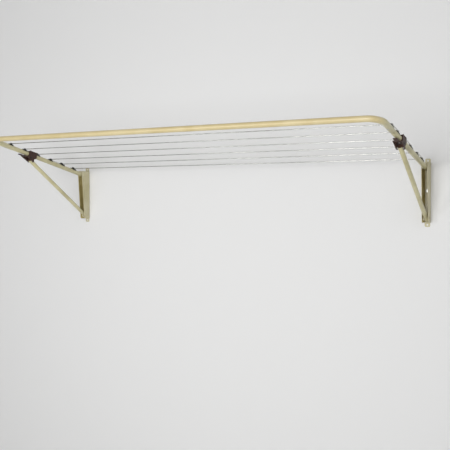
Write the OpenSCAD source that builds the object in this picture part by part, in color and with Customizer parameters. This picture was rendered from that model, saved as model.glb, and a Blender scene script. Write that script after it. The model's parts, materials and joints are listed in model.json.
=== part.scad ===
// Wall mounted fold down drying rack.
// X runs along the wall, the wall is the plane Y = 0 and the rack reaches out along -Y, Z is up.
// The origin is the centre of the four wall holes in the bracket tabs, on the wall plane.

/* [Overall] */
// Distance between the centre planes of the two wall brackets
bracket_spacing = 2166; // [1200:2:2800]
// Reach of the frame, from its pivot to the centre line of the front bar
frame_reach = 780; // [770:5:940]
// Upward tilt of the open frame, in degrees
open_tilt = 12; // [9:0.5:14]

/* [Wall brackets] */
// Height of the bracket's side flanges
bracket_h = 300; // [280:5:380]
// How far the flanges reach past the folded side arm at the top
flange_cover = 4.5; // [2:0.5:20]
// Depth of the flanges at the bottom
flange_bottom_depth = 52; // [50:1:76]
// Thickness of the bracket sheet
sheet_t = 2; // [1.5:0.1:2.2]
// Outer radius of the bend between back plate and flange
bend_r = 3.5; // [3:0.5:5]
// Rounding of the flanges' front corners
flange_corner_r = 9; // [4:1:12]
// Height of the mounting tab at each end of the back plate
tab_h = 22; // [18:1:30]
// Width of the mounting tabs
tab_w = 27; // [22:0.5:28]
// Diameter of the wall screw holes
wall_hole_d = 9; // [7:0.5:10]
// Height of the wall screw above the bracket's middle
wall_screw_z = 10; // [-20:1:30]
// Gap between the folded strut and the bracket's back plate
strut_back_gap = 13; // [12:0.5:15]
// Extra distance between arm and strut when folded, beyond their distance when open
fold_gap = 1; // [0.5:0.5:3]
// Drop of the frame pivot below the top of the flanges
arm_pivot_drop = 22; // [20:1:40]
// Rise of the strut pivot above the bottom of the flanges
strut_pivot_rise = 20; // [16:1:30]

/* [Frame tubes] */
// Outside diameter of the bent front tube
front_od = 28; // [26:0.5:34]
// Wall of the bent front tube
front_wall = 1.4; // [1:0.1:1.6]
// Centre line radius of the front tube's two bends
corner_r = 65; // [50:1:90]
// Length of the front tube's returns beyond the bends
return_len = 100; // [80:1:110]
// Wall of the side arm tubes
arm_wall = 1.6; // [1.2:0.1:2]
// Length of side arm that plugs into the front tube
plug_in_len = 75; // [50:1:90]
// Length of side arm between its pivot bush and its end plug's spigot
arm_tail_gap = 4.75; // [3:0.25:8]

/* [Struts] */
// Outside diameter of the strut tubes
strut_od = 22; // [18:0.5:23]
// Wall of the strut tubes
strut_wall = 1.5; // [1.2:0.1:2]
// Length of strut tube between its pivot bush and its end plug's spigot
strut_tail_gap = 0.75; // [0.25:0.25:2]
// Diameter of the cross pin at the top of each strut
cross_pin_d = 8; // [6:0.5:9]

/* [Lines and hooks] */
// Number of drying lines
line_count = 6; // [6]
// Distance of the front line from the front bar's centre line
first_line_gap = 145; // [140:1:155]
// Distance of the last line from the frame pivot
last_line_s = 80; // [78:1:100]
// Diameter of the coated line
line_d = 4; // [3:0.5:5]
// Length of a hook's saddle along the arm
hook_len = 30; // [28:1:34]
// Thickness of a hook's pad over the front tube
hook_pad_t = 2.1; // [1.8:0.1:4]
// Width of a hook's flat pad
hook_pad_w = 16; // [13:1:20]
// Diameter of the peg that the line turns round
peg_d = 11; // [9:0.5:13]
// How far the lip above the peg stands out all round
peg_lip = 3.5; // [2.5:0.5:4.5]
// Thickness of the lip above the peg
peg_lip_t = 2.2; // [1.8:0.2:3]

/* [Knuckles] */
// Length of the knuckle along the arm
knuckle_len = 62; // [60:1:70]
// Gap between the knuckle and the hook behind it
hook_gap = 5; // [1:0.5:6]
// Thickness of the knuckle's walls beside the arm
knuckle_wall = 5; // [5:0.5:8]
// Distance of the cross pin's seat from the knuckle's inner end, beyond the cheek's lobe
seat_inset = 18.5; // [17:0.5:20]
// Gap between the arm and the strut at the cross pin
tube_gap = 10.5; // [10.5:0.5:12]
// Radius of the cheek round the cross pin's seat
cheek_lobe_r = 8.5; // [8.5:0.5:10]
// Thickness of the knuckle's floor under the arm
knuckle_floor = 5; // [4:0.5:5]
// Height of the cap's side ribs above its crown
cap_rib_h = 3; // [2:0.2:6]

/* [Release levers] */
// Thickness of the lever's side rails
lever_t = 2.5; // [2:0.1:3]
// Width of the lever's side rails
lever_rail_w = 8; // [7:0.5:9]
// Distance of the lever's screws from the knuckle's outer end
lever_screw_inset = 13; // [12:1:16]
// Depth of the lever's screws below the arm's underside
lever_screw_drop = 7.5; // [7:0.5:8]
// Distance of the tongue's end from the lever's screws
tongue_reach = 80; // [60:1:84]
// Width of the finger tongue under the arm
tongue_w = 20; // [16:1:26]
// Thickness of the lever's cross plates
plate_t = 3.5; // [3:0.5:3.5]
// Distance of the spring from the lever's screws
spring_reach = 34; // [32:1:40]
// Outer diameter of the return spring
spring_d = 8; // [6:0.5:9]
// Wire diameter of the return spring
spring_wire = 0.9; // [0.7:0.1:1]

/* [Fasteners and fits] */
// Diameter of the frame and strut pivot pins
pivot_pin_d = 8; // [6:0.2:10]
// Diameter of the pivot pins' heads
pivot_head_d = 15; // [13:0.5:18]
// Height of the pivot pins' heads
pivot_head_h = 3; // [2:0.5:4]
// Wall of the bush sleeves in the tubes
bush_wall = 1.25; // [0.75:0.25:1.5]
// Thickness of the bush flanges beside the arm
bush_flange_t = 1.7; // [1.5:0.1:4]
// Diameter of the bush flanges
bush_flange_d = 19; // [15:0.5:20]
// Diameter of the wall screws' washers
washer_d = 20; // [16:0.5:22]
// Thickness of the wall screws' washers
washer_t = 1.6; // [1.2:0.1:2]
// Width across the flats of the wall screws' heads
hex_af = 13; // [11:0.5:14]
// Height of the wall screws' heads
hex_h = 5.5; // [4.5:0.5:6]
// Diameter of the blind rivets in the frame
rivet_d = 4.8; // [4:0.1:5]
// Diameter of the knuckle screws
cap_screw_d = 3; // [2.5:0.5:3]
// Diameter of the lever screws' shanks
lever_screw_d = 5; // [4:0.5:6]
// Radial clearance where one piece turns on another
turn_fit = 0.05; // [0.02:0.01:0.1]
// Radial clearance where one piece is seated in another
seat_fit = 0.05; // [0.02:0.01:0.1]
// Radial clearance where the side arm plugs into the front tube
plug_in_fit = 0.1; // [0.05:0.05:0.2]
// Clearance beside parts that move past each other
side_gap = 0.3; // [0.2:0.05:0.4]
// Radial clearance of the cross pin in its slot
slot_gap = 0.4; // [0.3:0.05:0.6]

/* [Hidden] */
$fn = 48;
LEFT = -1;
RIGHT = 1;
SIDES = ["left", "right"];
LINES = [1:line_count];

half_span = bracket_spacing / 2;
eps = 0.01;
plug_t = 2.5;
plug_depth = 6;
bush_d = pivot_pin_d + 2 * bush_wall;

// Frame: s is the distance from the frame pivot along the arm, n the height above its centre line
front_id = front_od - 2 * front_wall;
arm_od = front_id - 2 * plug_in_fit;
return_end_s = frame_reach - corner_r - return_len;
arm_end_s = return_end_s + plug_in_len;
joint_rivet_s = return_end_s + 0.72 * plug_in_len;
arm_tail = bush_d / 2 + plug_depth + arm_tail_gap;
strut_tail = bush_d / 2 + plug_depth + strut_tail_gap;

// Brackets: the folded strut lies against the back and the folded arm in front of it
seat_drop = arm_od / 2 + tube_gap + strut_od / 2;
strut_pivot_y = sheet_t + strut_back_gap + strut_od / 2;
arm_pivot_y = strut_pivot_y + seat_drop + fold_gap;
flange_top_depth = arm_pivot_y + arm_od / 2 + flange_cover;
bracket_w = arm_od + 2 * (bush_flange_t + side_gap + sheet_t);
tab_top = bracket_h / 2 + tab_h;
wall_hole_z = tab_top - tab_h / 2;
channel_in = bracket_w / 2 - sheet_t;
arm_pivot_z = bracket_h / 2 - arm_pivot_drop;
strut_pivot_z = strut_pivot_rise - bracket_h / 2;

// Lines: the pegs stand beside each line, inside its turn
first_line_s = frame_reach - first_line_gap;
line_pitch = (first_line_s - last_line_s) / (line_count - 1);
peg_gap = 0.05;
turn_r = peg_d / 2 + peg_gap + line_d / 2;
line_clear = 0.4;
peg_base = front_od / 2 + hook_pad_t;
line_rise = peg_base + line_clear + line_d / 2;
peg_top = line_rise + line_d / 2 + 0.6;
peg_lip_d = peg_d + 2 * peg_lip;
hook_skin = 2.2;
hook_stem_r = 3;
knot_d = 9;
line_tail = hook_len / 2 - turn_r + knot_d / 2 + 1;

// Knuckle: it sits between two hooks, and holds the cross pin's seat below the arm
knuckle_s = line_s(3) + hook_len / 2 + hook_gap;
knuckle_end_s = knuckle_s + knuckle_len;
knuckle_w = arm_od + 2 * knuckle_wall;
seat_s = knuckle_s + cheek_lobe_r + seat_inset;

// Strut, drawn between its lower pivot and the cross pin's seat in the knuckle
seat_y = arm_pivot_y + seat_s * cos(open_tilt) + seat_drop * sin(open_tilt);
seat_z = arm_pivot_z + seat_s * sin(open_tilt) - seat_drop * cos(open_tilt);
strut_len = norm([seat_y - strut_pivot_y, seat_z - strut_pivot_z]);
strut_angle = atan2(seat_z - strut_pivot_z, seat_y - strut_pivot_y);

// The cross pin leaves its seat along the difference between the strut's swing and the arm's
swing_ratio = (strut_angle + 90) / (open_tilt + 90);
leave_y = swing_ratio * (seat_z - strut_pivot_z) - (seat_z - arm_pivot_z);
leave_z = swing_ratio * (seat_y - strut_pivot_y) - (seat_y - arm_pivot_y);
path_bend = 0.5;
slot_slope = atan2(leave_z, leave_y) + open_tilt - path_bend;

// Knuckle walls, cap and screws
cheek_out = knuckle_w / 2;
cheek_in = strut_od / 2 + 1.3;
cheek_top = 8;
floor_low = arm_od / 2 + knuckle_floor;
slot_r = cross_pin_d / 2 + slot_gap;
cap_in_w = arm_od + 0.2;
cap_crown = line_rise - line_d / 2 - 0.7;
rib_rise = cap_crown + cap_rib_h;
cap_screw_x = arm_od / 2 + cap_screw_d / 2 + 1;
cap_screw_len = 20;
cap_screw_head_d = 2 * cap_screw_d - 0.4;
cap_screw_head_h = 1.8;
cap_screw_inset = 9;
knuckle_rivet_s = knuckle_end_s - 12;
rivet_head_d = 2 * rivet_d;
rivet_head_h = 1.5;

// Release lever
lever_in = cheek_out + side_gap + 0.2;
lever_out = lever_in + lever_t;
lever_mid = lever_in + lever_t / 2;
lever_pivot_s = knuckle_end_s - lever_screw_inset;
lever_pivot_drop = arm_od / 2 + lever_screw_drop;
tongue_end_s = lever_pivot_s + tongue_reach;
plate_low = seat_drop - strut_od / 2 - 1;
plate_top = plate_low - plate_t;
spring_s = lever_pivot_s + spring_reach;
spring_seat_len = spring_d + 6;
spring_turns = 3;
lever_screw_head_d = 2 * lever_screw_d - 1;
lever_screw_head_h = 2.4;

enamel = "#d8cda4";
shade_enamel = "#b9b28c";
dark_plastic = "#3a2723";
hook_plastic = "#1e1c1b";
bright_steel = "#b9bbbd";
coated_line = "#e8e8e6";
nylon = "#dedacb";

// ---------- helpers ----------

function line_s(i) = first_line_s - (i - 1) * line_pitch;

// -1 puts the peg on the wall side of its line, 1 on the front side
function peg_lean(side, i) =
    side == RIGHT ? (i % 2 == 1 ? -1 : 1)
    : i == 1 ? -1
    : i == line_count ? 1
    : (i % 2 == 0 ? -1 : 1);

// Hooks on the front tube's returns sit on a fatter tube than those on the side arms
function seat_od(i) = line_s(i) - hook_len / 2 > return_end_s ? front_od : arm_od;

// An outline with each corner rounded to its own radius
function rounded(pts, radii) = [
    for (i = [0 : len(pts) - 1])
        let (
            p = pts[i],
            a = pts[(i + len(pts) - 1) % len(pts)] - p,
            b = pts[(i + 1) % len(pts)] - p,
            u = a / norm(a),
            v = b / norm(b),
            half = acos(u * v) / 2,
            mid = (u + v) / norm(u + v),
            r = radii[i],
            centre = p + mid * r / sin(half),
            turn = sign(u[0] * v[1] - u[1] * v[0]),
            start = atan2(p[1] + u[1] * r / tan(half) - centre[1], p[0] + u[0] * r / tan(half) - centre[0])
        )
        each r == 0 ? [p] : [
            for (k = [0:5]) centre + r * [cos(start - turn * k * (180 - 2 * half) / 5),
                                          sin(start - turn * k * (180 - 2 * half) / 5)]
        ]
];

// Puts a piece at the left or right bracket's centre plane
module at_side(side) {
    translate([side * half_span, 0, 0]) children();
}

// From the row's frame to the frame's: origin at its pivot, -Y along the arm, Z above it
module arm_frame() {
    translate([0, -arm_pivot_y, arm_pivot_z]) rotate([-open_tilt, 0, 0]) children();
}

// The same for a strut: origin at its lower pivot, -Y along the strut
module strut_frame() {
    translate([0, -strut_pivot_y, strut_pivot_z]) rotate([-strut_angle, 0, 0]) children();
}

// A flat outline of (distance outwards, height), given thickness from x0 to x1
module across(x0, x1) {
    translate([x1, 0, 0]) rotate([90, 0, -90]) linear_extrude(x1 - x0) children();
}

module rod_x(r, x0, x1) {
    translate([x0, 0, 0]) rotate([0, 90, 0]) cylinder(r = r, h = x1 - x0);
}

module rod_out(r, s0, s1) {
    translate([0, -s0, 0]) rotate([90, 0, 0]) cylinder(r = r, h = s1 - s0);
}

// A quarter of a ring, from +X turning towards -Y
module quarter_ring(ring_r, r) {
    rotate([0, 0, -90]) rotate_extrude(angle = 90) translate([ring_r, 0]) circle(r = r);
}

// ---------- wall brackets ----------

// A block against the wall whose two back corners are rounded
module back_block(w, y0, y1, r) {
    translate([-w / 2, -y1]) square([w, y1 - y0 - r]);
    translate([-w / 2 + r, -y0 - r - eps]) square([w - 2 * r, r + eps]);
    for (x = [-1, 1]) translate([x * (w / 2 - r), -y0 - r]) circle(r = r);
}

module channel() {
    deep = flange_top_depth;
    difference() {
        translate([0, 0, -bracket_h / 2]) linear_extrude(bracket_h) back_block(bracket_w, 0, deep, bend_r);
        translate([0, 0, -bracket_h / 2 - 1]) linear_extrude(bracket_h + 2)
            back_block(bracket_w - 2 * sheet_t, sheet_t, deep + 1, bend_r - sheet_t);
    }
}

// Side view of a flange: shallow at the bottom, deep at the top
module flange_outline() {
    polygon(rounded([
        [-1, -bracket_h / 2],
        [flange_bottom_depth, -bracket_h / 2],
        [flange_top_depth, bracket_h / 2],
        [-1, bracket_h / 2]
    ], [0, flange_corner_r, flange_corner_r, 0]));
}

module back_plate() {
    tab_r = 6;
    rotate([90, 0, 0]) linear_extrude(sheet_t) polygon(rounded([
        [-tab_w / 2, -tab_top],
        [tab_w / 2, -tab_top],
        [tab_w / 2, tab_top],
        [-tab_w / 2, tab_top]
    ], [tab_r, tab_r, tab_r, tab_r]));
}

module bracket(side) {
    color(enamel) at_side(side) difference() {
        union() {
            intersection() {
                channel();
                across(-bracket_w, bracket_w) flange_outline();
            }
            back_plate();
        }
        for (z = [-wall_hole_z, wall_screw_z, wall_hole_z])
            translate([0, 1, z]) rotate([90, 0, 0]) cylinder(d = wall_hole_d, h = sheet_t + 2);
        for (p = [[-arm_pivot_y, arm_pivot_z], [-strut_pivot_y, strut_pivot_z]])
            translate([0, p[0], p[1]]) rod_x(pivot_pin_d / 2 + seat_fit, -bracket_w, bracket_w);
    }
}

module wall_screws() {
    shank_r = wall_hole_d / 2 - 0.5;
    color(bright_steel) for (side = [LEFT, RIGHT]) at_side(side) translate([0, 0, wall_screw_z]) {
        rotate([90, 0, 0]) cylinder(r = shank_r, h = sheet_t + washer_t);
        translate([0, -sheet_t - washer_t, 0]) rotate([90, 0, 0]) intersection() {
            cylinder(d = hex_af / cos(30), h = hex_h, $fn = 6);
            cylinder(r1 = hex_af / cos(30) / 2 + hex_h - 1, r2 = hex_af / 2 - 0.3, h = hex_h);
        }
    }
}

module wall_screw_washers() {
    color(bright_steel) for (side = [LEFT, RIGHT]) at_side(side)
        translate([0, -sheet_t, wall_screw_z]) rotate([90, 0, 0]) difference() {
            cylinder(d = washer_d, h = washer_t);
            translate([0, 0, -1]) cylinder(d = wall_hole_d, h = washer_t + 2);
        }
}

// ---------- pivots ----------

// A round pin through both flanges with a domed head at each end
module pivot_pin() {
    seat_x = bracket_w / 2;
    rod_x(pivot_pin_d / 2, -seat_x - 1, seat_x + 1);
    for (end = [-1, 1]) translate([end * seat_x, 0, 0]) rotate([0, end * 90, 0]) {
        cylinder(d = pivot_head_d, h = pivot_head_h * 0.4);
        translate([0, 0, pivot_head_h * 0.4])
            cylinder(d1 = pivot_head_d, d2 = pivot_head_d * 0.55, h = pivot_head_h * 0.6);
    }
}

module arm_pivot_pin(side) {
    color(enamel) at_side(side) translate([0, -arm_pivot_y, arm_pivot_z]) pivot_pin();
}

module strut_pivot_pin(side) {
    color(enamel) at_side(side) translate([0, -strut_pivot_y, strut_pivot_z]) pivot_pin();
}

// Two flanged bushes, one from each side of a tube
module bushes(tube_od) {
    flange_x = channel_in - side_gap;
    for (end = [-1, 1]) scale([end, 1, 1]) difference() {
        union() {
            rod_x(bush_d / 2, 0.2, tube_od / 2);
            rod_x(bush_flange_d / 2, tube_od / 2, flange_x);
        }
        rod_x(pivot_pin_d / 2 + turn_fit, -1, bracket_w);
    }
}

module arm_bushes(side) {
    color(nylon) at_side(side) arm_frame() bushes(arm_od);
}

module strut_bushes(side) {
    color(nylon) at_side(side) strut_frame() bushes(strut_od);
}

// ---------- frame tubes ----------

// The front tube's whole bent shape at one radius
module front_path(r, past_end) {
    straight = half_span - corner_r;
    translate([0, -frame_reach, 0]) rod_x(r, -straight, straight);
    for (side = [LEFT, RIGHT]) {
        translate([side * straight, -(frame_reach - corner_r), 0])
            rotate([0, 0, side == LEFT ? -90 : 0]) quarter_ring(corner_r, r);
        translate([side * half_span, 0, 0]) rod_out(r, return_end_s - past_end, frame_reach - corner_r);
    }
}

module front_tube() {
    color(enamel) arm_frame() difference() {
        front_path(front_od / 2, 0);
        front_path(front_id / 2, 1);
        at_side(LEFT) frame_holes();
        at_side(RIGHT) frame_holes();
    }
}

// Holes that the hooks' stems and the rivets take in the frame tubes
module frame_holes() {
    for (i = LINES) translate([0, -line_s(i), 0]) cylinder(r = hook_stem_r + seat_fit, h = front_od);
    for (s = [joint_rivet_s, knuckle_rivet_s])
        translate([0, -s, -front_od]) cylinder(r = rivet_d / 2 + seat_fit, h = front_od);
}

module side_arm(side) {
    color(shade_enamel) at_side(side) arm_frame() difference() {
        rod_out(arm_od / 2, -arm_tail, arm_end_s);
        rod_out(arm_od / 2 - arm_wall, -arm_tail - 1, arm_end_s + 1);
        rod_x(bush_d / 2 + seat_fit, -arm_od, arm_od);
        frame_holes();
    }
}

// A push-in cap that closes a tube's end, drawn from the end of the tube outwards along +Z
module end_plug(od, wall, spigot) {
    cylinder(d = od, h = plug_t - 1);
    translate([0, 0, plug_t - 1]) cylinder(d1 = od, d2 = od - 2, h = 1);
    translate([0, 0, -spigot]) cylinder(r = od / 2 - wall - seat_fit, h = spigot);
}

module arm_end_plug(side) {
    color(hook_plastic) at_side(side) arm_frame()
        translate([0, arm_tail, 0]) rotate([-90, 0, 0]) end_plug(arm_od, arm_wall, plug_depth);
}

// A blind rivet set upwards into a tube's underside
module rivet(tube_od, wall) {
    translate([0, 0, -tube_od / 2]) {
        translate([0, 0, -rivet_head_h]) cylinder(d1 = rivet_head_d * 0.6, d2 = rivet_head_d, h = rivet_head_h);
        cylinder(d = rivet_d, h = wall + 2);
    }
}

module frame_rivets() {
    color(bright_steel) for (side = [LEFT, RIGHT]) at_side(side) arm_frame() {
        translate([0, -joint_rivet_s, 0]) rivet(front_od, front_wall + arm_wall);
        translate([0, -knuckle_rivet_s, 0]) rivet(2 * floor_low, knuckle_floor + arm_wall);
    }
}

// ---------- lines and hooks ----------

module hook(side, i) {
    od = seat_od(i);
    peg_y = -peg_lean(side, i) * turn_r;
    difference() {
        union() {
            intersection() {
                rod_out(od / 2 + hook_skin, -hook_len / 2, hook_len / 2);
                translate([0, 0, od / 2]) cube([od * 0.86, hook_len, od * 0.9], center = true);
            }
            translate([-hook_pad_w / 2, -hook_len / 2, 0]) cube([hook_pad_w, hook_len, peg_base]);
        }
        rod_out(od / 2 + seat_fit, -hook_len, hook_len);
        translate([0, 0, -od]) cube([2 * od, 2 * hook_len, 2 * od], center = true);
    }
    translate([0, peg_y, peg_base - eps]) cylinder(d = peg_d, h = peg_top - peg_base + 2 * eps);
    translate([0, peg_y, peg_top]) cylinder(d = peg_lip_d, h = peg_lip_t - 0.8);
    translate([0, peg_y, peg_top + peg_lip_t - 0.8]) cylinder(d1 = peg_lip_d, d2 = peg_lip_d - 2, h = 0.8);
    translate([0, 0, od / 2 - 3]) cylinder(r = hook_stem_r, h = 4);
}

module line_hook(side, i) {
    color(hook_plastic) at_side(side) arm_frame() translate([0, -line_s(i), 0]) hook(side, i);
}

module line_run(i) {
    color(coated_line) arm_frame() translate([0, -line_s(i), line_rise])
        rod_x(line_d / 2, -half_span, half_span);
}

// A quarter bend round the peg of line i, from the line to the outer side of the arm
module peg_bend(side, i) {
    lean = peg_lean(side, i);
    translate([side * half_span, -line_s(i) - lean * turn_r, line_rise])
        scale([side, lean, 1]) rotate([0, 0, 90]) quarter_ring(turn_r, line_d / 2);
}

// The line's path from one hook to the next: bend, straight stretch, bend
module line_turn(side, i) {
    peg_bend(side, i);
    peg_bend(side, i + 1);
    translate([side * (half_span + turn_r), 0, line_rise])
        rod_out(line_d / 2, line_s(i + 1) + turn_r, line_s(i) - turn_r);
}

module line_turns() {
    color(coated_line) arm_frame() {
        for (i = [1 : 2 : line_count - 1]) line_turn(RIGHT, i);
        for (i = [2 : 2 : line_count - 2]) line_turn(LEFT, i);
    }
}

// The line's two ends, bent round their pegs and knotted
module line_ends() {
    color(coated_line) arm_frame() for (i = [1, line_count]) {
        lean = peg_lean(LEFT, i);
        s = line_s(i) + lean * turn_r;
        peg_bend(LEFT, i);
        translate([-half_span - turn_r, 0, line_rise]) {
            rod_out(line_d / 2, min(s, s + lean * line_tail), max(s, s + lean * line_tail));
            translate([0, -(s + lean * line_tail), 0]) sphere(d = knot_d);
        }
    }
}

// ---------- knuckles ----------

// Side view of a cheek: it hangs from the arm and runs down round the seat of the cross pin
module cheek_outline() {
    low = seat_drop + cheek_lobe_r;
    polygon(rounded([
        [knuckle_s, cheek_top],
        [knuckle_s, 0.5 - arm_od / 2],
        [seat_s - cheek_lobe_r - 1, 10 - seat_drop],
        [seat_s - cheek_lobe_r - 1, -low],
        [seat_s + cheek_lobe_r + 6, -low],
        [lever_pivot_s + 4, -lever_pivot_drop - 9],
        [knuckle_end_s, -floor_low + 4],
        [knuckle_end_s, cheek_top]
    ], [0, 6, 5, 9, 7, 8, 4, 0]));
}

// The slot that the cross pin sits in and leaves by, flared towards its mouth
module pin_slot() {
    slot_len = 40;
    flare = 1.2;
    translate([seat_s, -seat_drop]) rotate(-slot_slope) {
        circle(r = slot_r);
        polygon([[0, -slot_r], [slot_len, -slot_r - flare], [slot_len, slot_r + flare], [0, slot_r]]);
    }
}

module knuckle_body(side) {
    color(dark_plastic) at_side(side) arm_frame() difference() {
        union() {
            for (x = [-cheek_out, cheek_in]) across(x, x + cheek_out - cheek_in) cheek_outline();
            across(-cheek_in - eps, cheek_in + eps) polygon([
                [knuckle_s, cheek_top], [knuckle_s, -floor_low],
                [knuckle_end_s, -floor_low], [knuckle_end_s, cheek_top]
            ]);
        }
        across(-knuckle_w, knuckle_w) pin_slot();
        rod_out(arm_od / 2 + seat_fit, knuckle_s - 1, knuckle_end_s + 1);
        translate([-cap_in_w / 2, -knuckle_end_s - 1, 0]) cube([cap_in_w, knuckle_len + 2, 2 * cheek_top]);
        lever_screw_at() rod_x(lever_screw_d / 2 + seat_fit, -knuckle_w, knuckle_w);
        cap_screws_at() translate([0, 0, -cap_screw_len]) cylinder(r = cap_screw_d / 2 + seat_fit, h = 60);
        translate([0, -knuckle_rivet_s, -front_od]) cylinder(r = rivet_d / 2 + seat_fit, h = front_od);
    }
}

module lever_screw_at() {
    translate([0, -lever_pivot_s, -lever_pivot_drop]) children();
}

// The four screws of a knuckle's cap, each with its origin under its head
module cap_screws_at() {
    for (x = [-1, 1]) for (s = [knuckle_s + cap_screw_inset, knuckle_end_s - cap_screw_inset])
        translate([x * cap_screw_x, -s, rib_rise]) children();
}

// The cap closes the knuckle over the arm; its crown stays under the line that passes above
module knuckle_cap(side) {
    color(dark_plastic) at_side(side) arm_frame() difference() {
        union() {
            translate([-cheek_out, -knuckle_end_s, cheek_top + eps])
                cube([knuckle_w, knuckle_len, cap_crown - cheek_top]);
            for (x = [-cheek_out, cap_in_w / 2]) across(x, x + cheek_out - cap_in_w / 2) polygon(rounded([
                [knuckle_s, cheek_top + eps], [knuckle_end_s, cheek_top + eps],
                [knuckle_end_s, rib_rise], [knuckle_s, rib_rise]
            ], [0, 0, 6, 6]));
        }
        rod_out(arm_od / 2 + seat_fit, knuckle_s - 1, knuckle_end_s + 1);
        cap_screws_at() translate([0, 0, -cap_screw_len]) cylinder(r = cap_screw_d / 2 + seat_fit, h = 60);
    }
}

module knuckle_screws() {
    color(bright_steel) for (side = [LEFT, RIGHT]) at_side(side) arm_frame() cap_screws_at() {
        translate([0, 0, -cap_screw_len]) cylinder(d = cap_screw_d, h = cap_screw_len + eps);
        cylinder(d1 = cap_screw_head_d, d2 = cap_screw_head_d * 0.6, h = cap_screw_head_h);
    }
}

// ---------- release levers ----------

// Side view of a rail: a lobe over the cross pin's end, one at the screw, and the web out to the tongue
module lever_rail_outline() {
    lobe_r = cheek_lobe_r - 1;
    root_s = spring_s + spring_seat_len / 2;
    polygon([
        [seat_s + 1, 1.5 - seat_drop - lobe_r], [root_s, -plate_low], [root_s, -plate_top],
        [lever_pivot_s + 2, lever_rail_w / 2 + 1 - lever_pivot_drop], [seat_s - 3, lobe_r - 1.5 - seat_drop]
    ]);
    translate([seat_s, -seat_drop]) circle(r = lobe_r);
    translate([lever_pivot_s, -lever_pivot_drop]) circle(r = lever_rail_w * 0.75);
}

// The tongue under the arm that fingers squeeze, with its end rounded
module finger_tongue() {
    w = tongue_w / 2;
    translate([0, 0, -plate_low]) linear_extrude(plate_t) polygon(rounded([
        [-w, -tongue_end_s], [w, -tongue_end_s], [w, -spring_s], [-w, -spring_s]
    ], [7, 7, 0, 0]));
}

module release_lever(side) {
    color(dark_plastic) at_side(side) arm_frame() difference() {
        union() {
            for (x = [-lever_out, lever_in]) across(x, x + lever_t) lever_rail_outline();
            finger_tongue();
            translate([-lever_mid, -spring_s - spring_seat_len / 2, -plate_low])
                cube([2 * lever_mid, spring_seat_len, plate_t]);
        }
        lever_screw_at() rod_x(lever_screw_d / 2 + turn_fit, -knuckle_w, knuckle_w);
    }
}

// Shouldered screws that carry the lever, from the cheek's inner face outwards
module lever_screws() {
    color(bright_steel) for (side = [LEFT, RIGHT]) at_side(side) arm_frame() lever_screw_at()
        for (end = [-1, 1]) scale([end, 1, 1]) {
            rod_x(lever_screw_d / 2, cheek_in + 0.3, lever_out + side_gap);
            rod_x(lever_screw_head_d / 2, lever_out + side_gap - eps, lever_out + side_gap + lever_screw_head_h);
        }
}

// A wire coil between the lever's spring seat and the arm
module lever_spring(side) {
    rise = plate_top - arm_od / 2 - 0.1;
    coil_r = (spring_d - spring_wire) / 2;
    steps = 16 * spring_turns;
    ring = [for (k = [0:7]) spring_wire / 2 * [cos(45 * k), sin(45 * k)]];
    points = [
        for (j = [0:steps]) for (q = ring)
            let (a = 360 * j / 16, h = spring_wire / 2 + (rise - spring_wire) * j / steps)
            [(coil_r + q[0]) * cos(a), (coil_r + q[0]) * sin(a), h + q[1]]
    ];
    sides = [for (j = [0 : steps - 1]) for (k = [0:7])
        [8 * j + k, 8 * j + (k + 1) % 8, 8 * (j + 1) + (k + 1) % 8, 8 * (j + 1) + k]];
    ends = [[for (k = [7:-1:0]) k], [for (k = [0:7]) 8 * steps + k]];
    color(bright_steel) at_side(side) arm_frame() translate([0, -spring_s, -plate_top + 0.05])
        polyhedron(points, concat(sides, ends));
}

// ---------- struts ----------

module strut(side) {
    color(shade_enamel) at_side(side) strut_frame() difference() {
        rod_out(strut_od / 2, -strut_tail, strut_len + strut_tail);
        rod_out(strut_od / 2 - strut_wall, -strut_tail - 1, strut_len + strut_tail + 1);
        rod_x(bush_d / 2 + seat_fit, -strut_od, strut_od);
        translate([0, -strut_len, 0]) rod_x(cross_pin_d / 2 + seat_fit, -strut_od, strut_od);
    }
}

module strut_end_plugs(side) {
    color(dark_plastic) at_side(side) strut_frame() {
        translate([0, strut_tail, 0]) rotate([-90, 0, 0]) end_plug(strut_od, strut_wall, plug_depth);
        translate([0, -strut_len - strut_tail, 0]) rotate([90, 0, 0]) end_plug(strut_od, strut_wall, plug_depth);
    }
}

// The pin ends flush with the knuckle's cheeks
module strut_cross_pin(side) {
    color(bright_steel) at_side(side) strut_frame() translate([0, -strut_len, 0])
        rod_x(cross_pin_d / 2, -cheek_out, cheek_out);
}

// ---------- the assembly ----------

for (side = [LEFT, RIGHT]) {
    name = side == LEFT ? "left_" : "right_";
    bracket(side);
    arm_pivot_pin(side);
    strut_pivot_pin(side);
    arm_bushes(side);
    strut_bushes(side);
    side_arm(side);
    arm_end_plug(side);
    knuckle_body(side);
    knuckle_cap(side);
    release_lever(side);
    lever_spring(side);
    strut(side);
    strut_end_plugs(side);
    strut_cross_pin(side);
    for (i = LINES)
        line_hook(side, i);
}
wall_screws();
wall_screw_washers();
front_tube();
frame_rivets();
knuckle_screws();
lever_screws();
line_turns();
line_ends();
for (i = LINES)
    line_run(i);
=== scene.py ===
"""Wall mounted fold down drying rack: the looks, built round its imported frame.

Run as a script inside Blender. The layout is that of an add-on: settings, one operator for each
group of pieces, a sidebar panel that lists them, and main(), which runs them in order.
"""

import json
import math

import bmesh
import bpy
from mathutils import Matrix, Vector

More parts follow.
